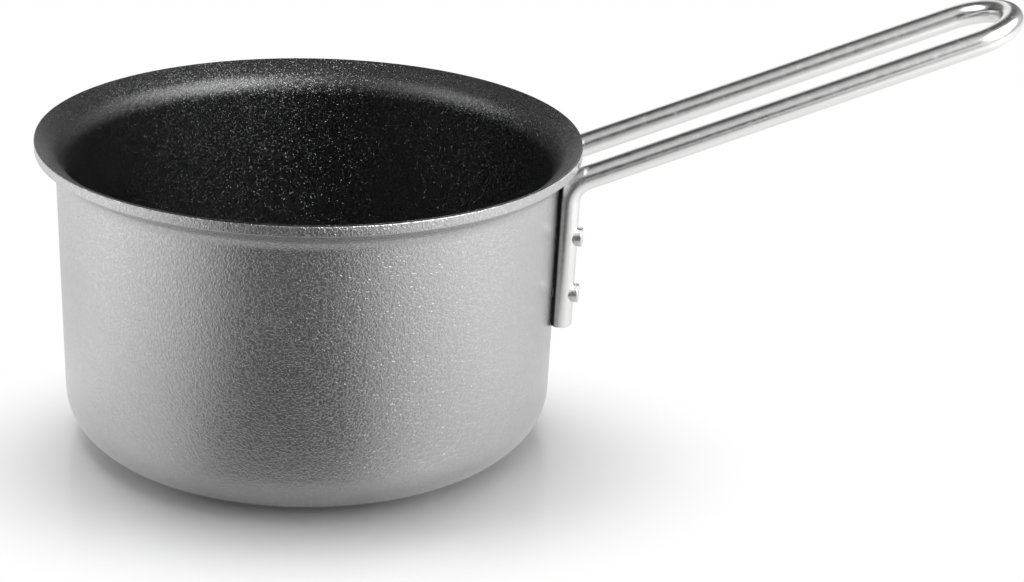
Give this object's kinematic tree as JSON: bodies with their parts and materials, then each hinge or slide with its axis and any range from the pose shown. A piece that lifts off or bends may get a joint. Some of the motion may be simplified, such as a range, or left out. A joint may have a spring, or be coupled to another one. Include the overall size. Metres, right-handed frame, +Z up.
{
  "type": "saucepan",
  "caption": "Cast saucepan with a flared pouring rim, dark non-stick lining, induction disc and a riveted loop handle bent from one round rod.",
  "frame": {"origin": "centre of the base on the pan axis, on the underside of the induction disc, where the pan stands", "axes": "+Z up along the pan axis, +X from the pan axis towards the end of the handle, +Y to the left of the handle seen from the pan"},
  "size_m": [0.3129, 0.173, 0.1451],
  "materials": {
    "cast_aluminium": "blasted, fine orange-peel texture, satin",
    "nonstick": "dark ceramic coating, semi-matt with a fine sparkle",
    "disc_steel": "turned, fine concentric grain",
    "rod_steel": "satin, brushed along the rod",
    "rivet_steel": "satin"
  },
  "bodies": {
    "root": {"pan_body": "cast_aluminium", "nonstick_lining": "nonstick", "induction_disc": "disc_steel", "handle_rod": "rod_steel", "rivet_near_upper": "rivet_steel", "rivet_near_lower": "rivet_steel", "rivet_far_upper": "rivet_steel", "rivet_far_lower": "rivet_steel"}
  },
  "joints": []
}
